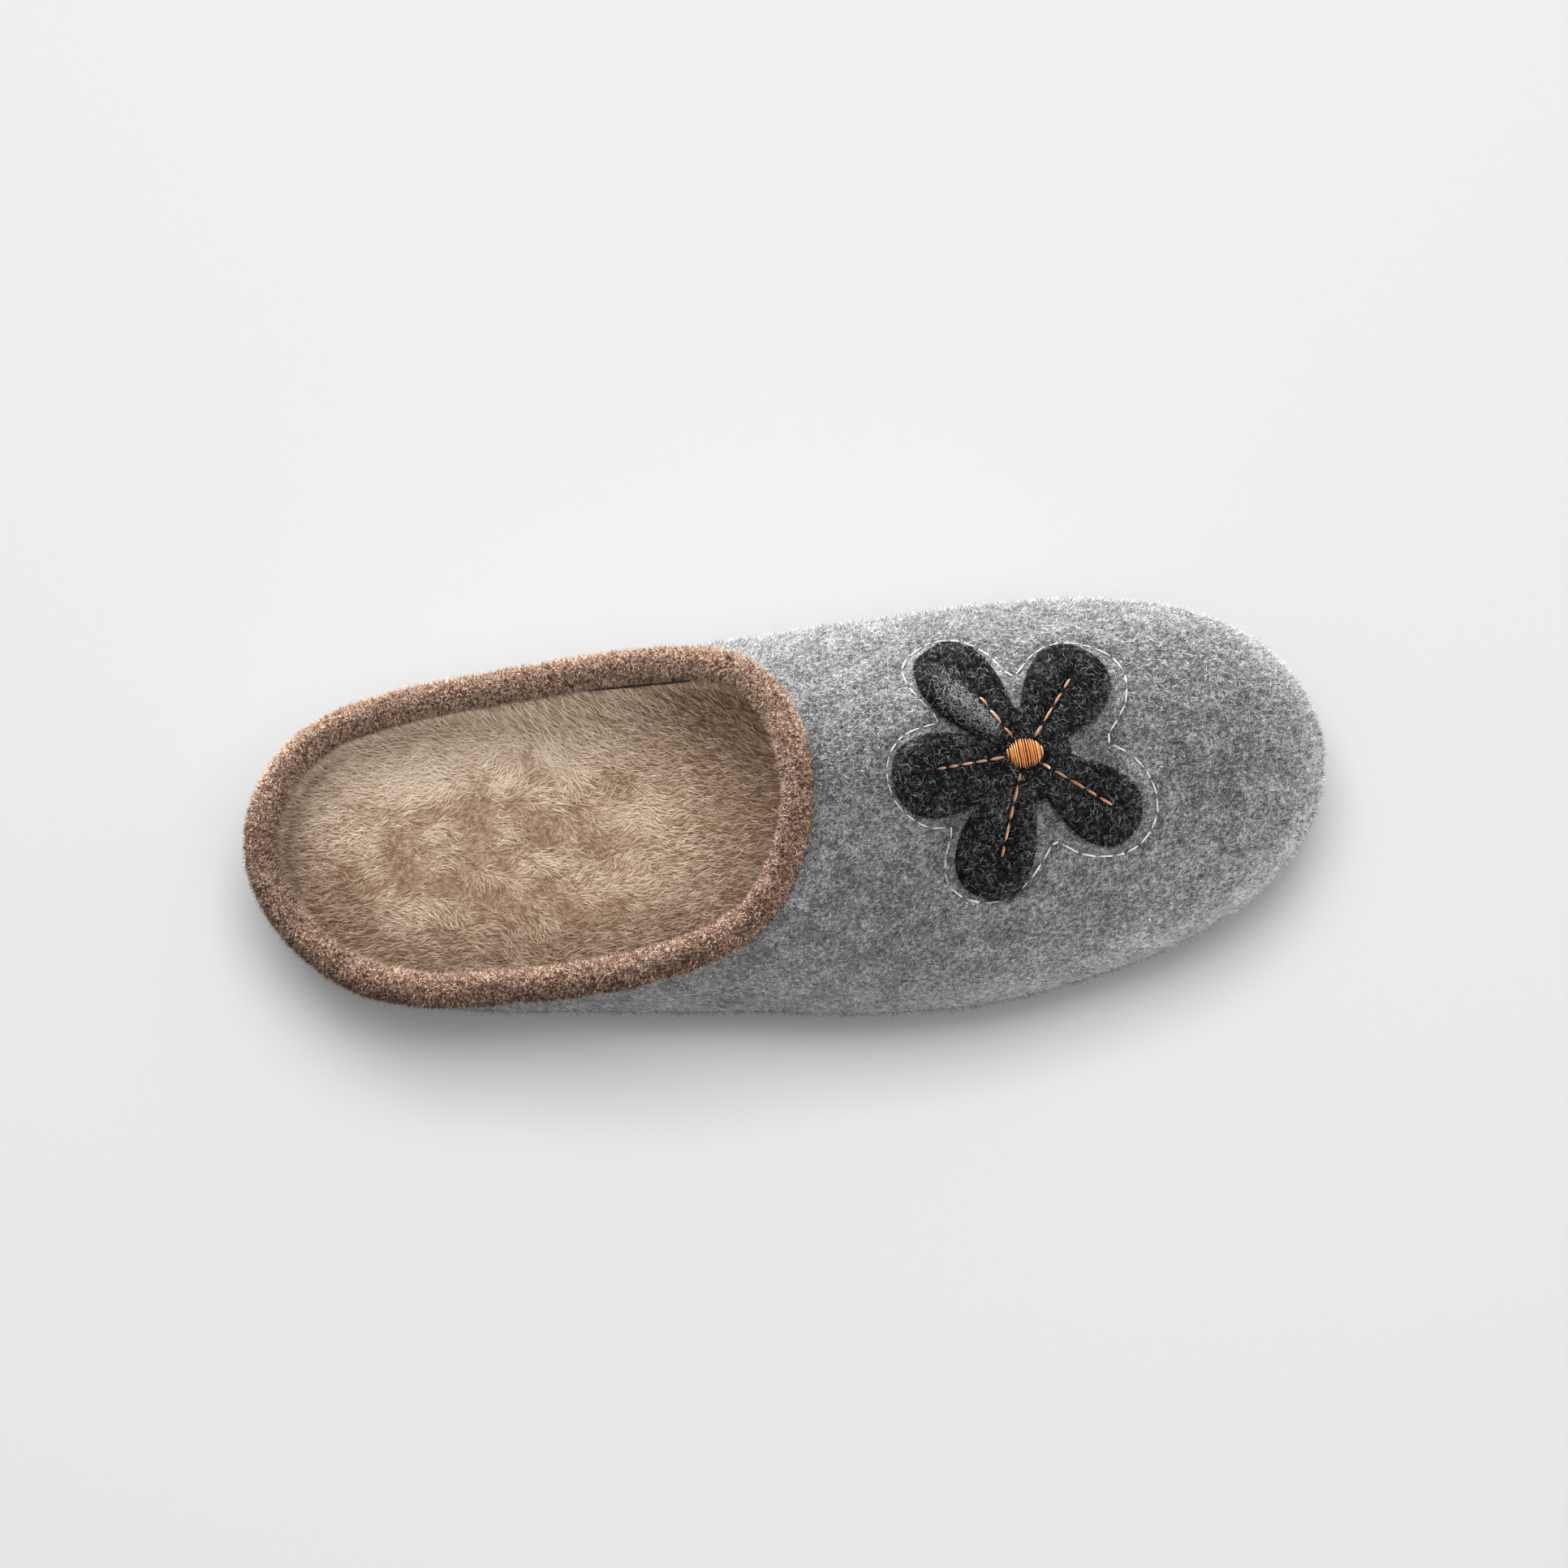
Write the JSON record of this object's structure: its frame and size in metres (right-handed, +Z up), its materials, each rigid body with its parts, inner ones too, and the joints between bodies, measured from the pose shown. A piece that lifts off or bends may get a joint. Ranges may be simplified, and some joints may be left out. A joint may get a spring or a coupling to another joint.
{
  "type": "felt mule slipper",
  "caption": "Right-foot felt mule slipper with a closed toe, low closed heel, rolled felt collar, plush footbed, thin sole and a felt flower on the vamp.",
  "frame": {"origin": "on the floor, at the middle of the slipper's own box", "axes": "+X from heel to toe, +Y towards the inner side of a right foot, +Z up"},
  "size_m": [0.2636, 0.0988, 0.0684],
  "materials": {
    "outsole": "matt",
    "plush": "short beige pile",
    "upper_felt": "grey heather wool felt",
    "binding_felt": "brown mottled wool felt",
    "flower_felt": "black wool felt",
    "flower_thread": "orange satin stitch"
  },
  "bodies": {
    "root": {"outsole": "outsole", "insole": "plush", "upper": "upper_felt", "collar_binding": "binding_felt", "flower_applique": "flower_felt", "flower_centre": "flower_thread"}
  },
  "joints": []
}
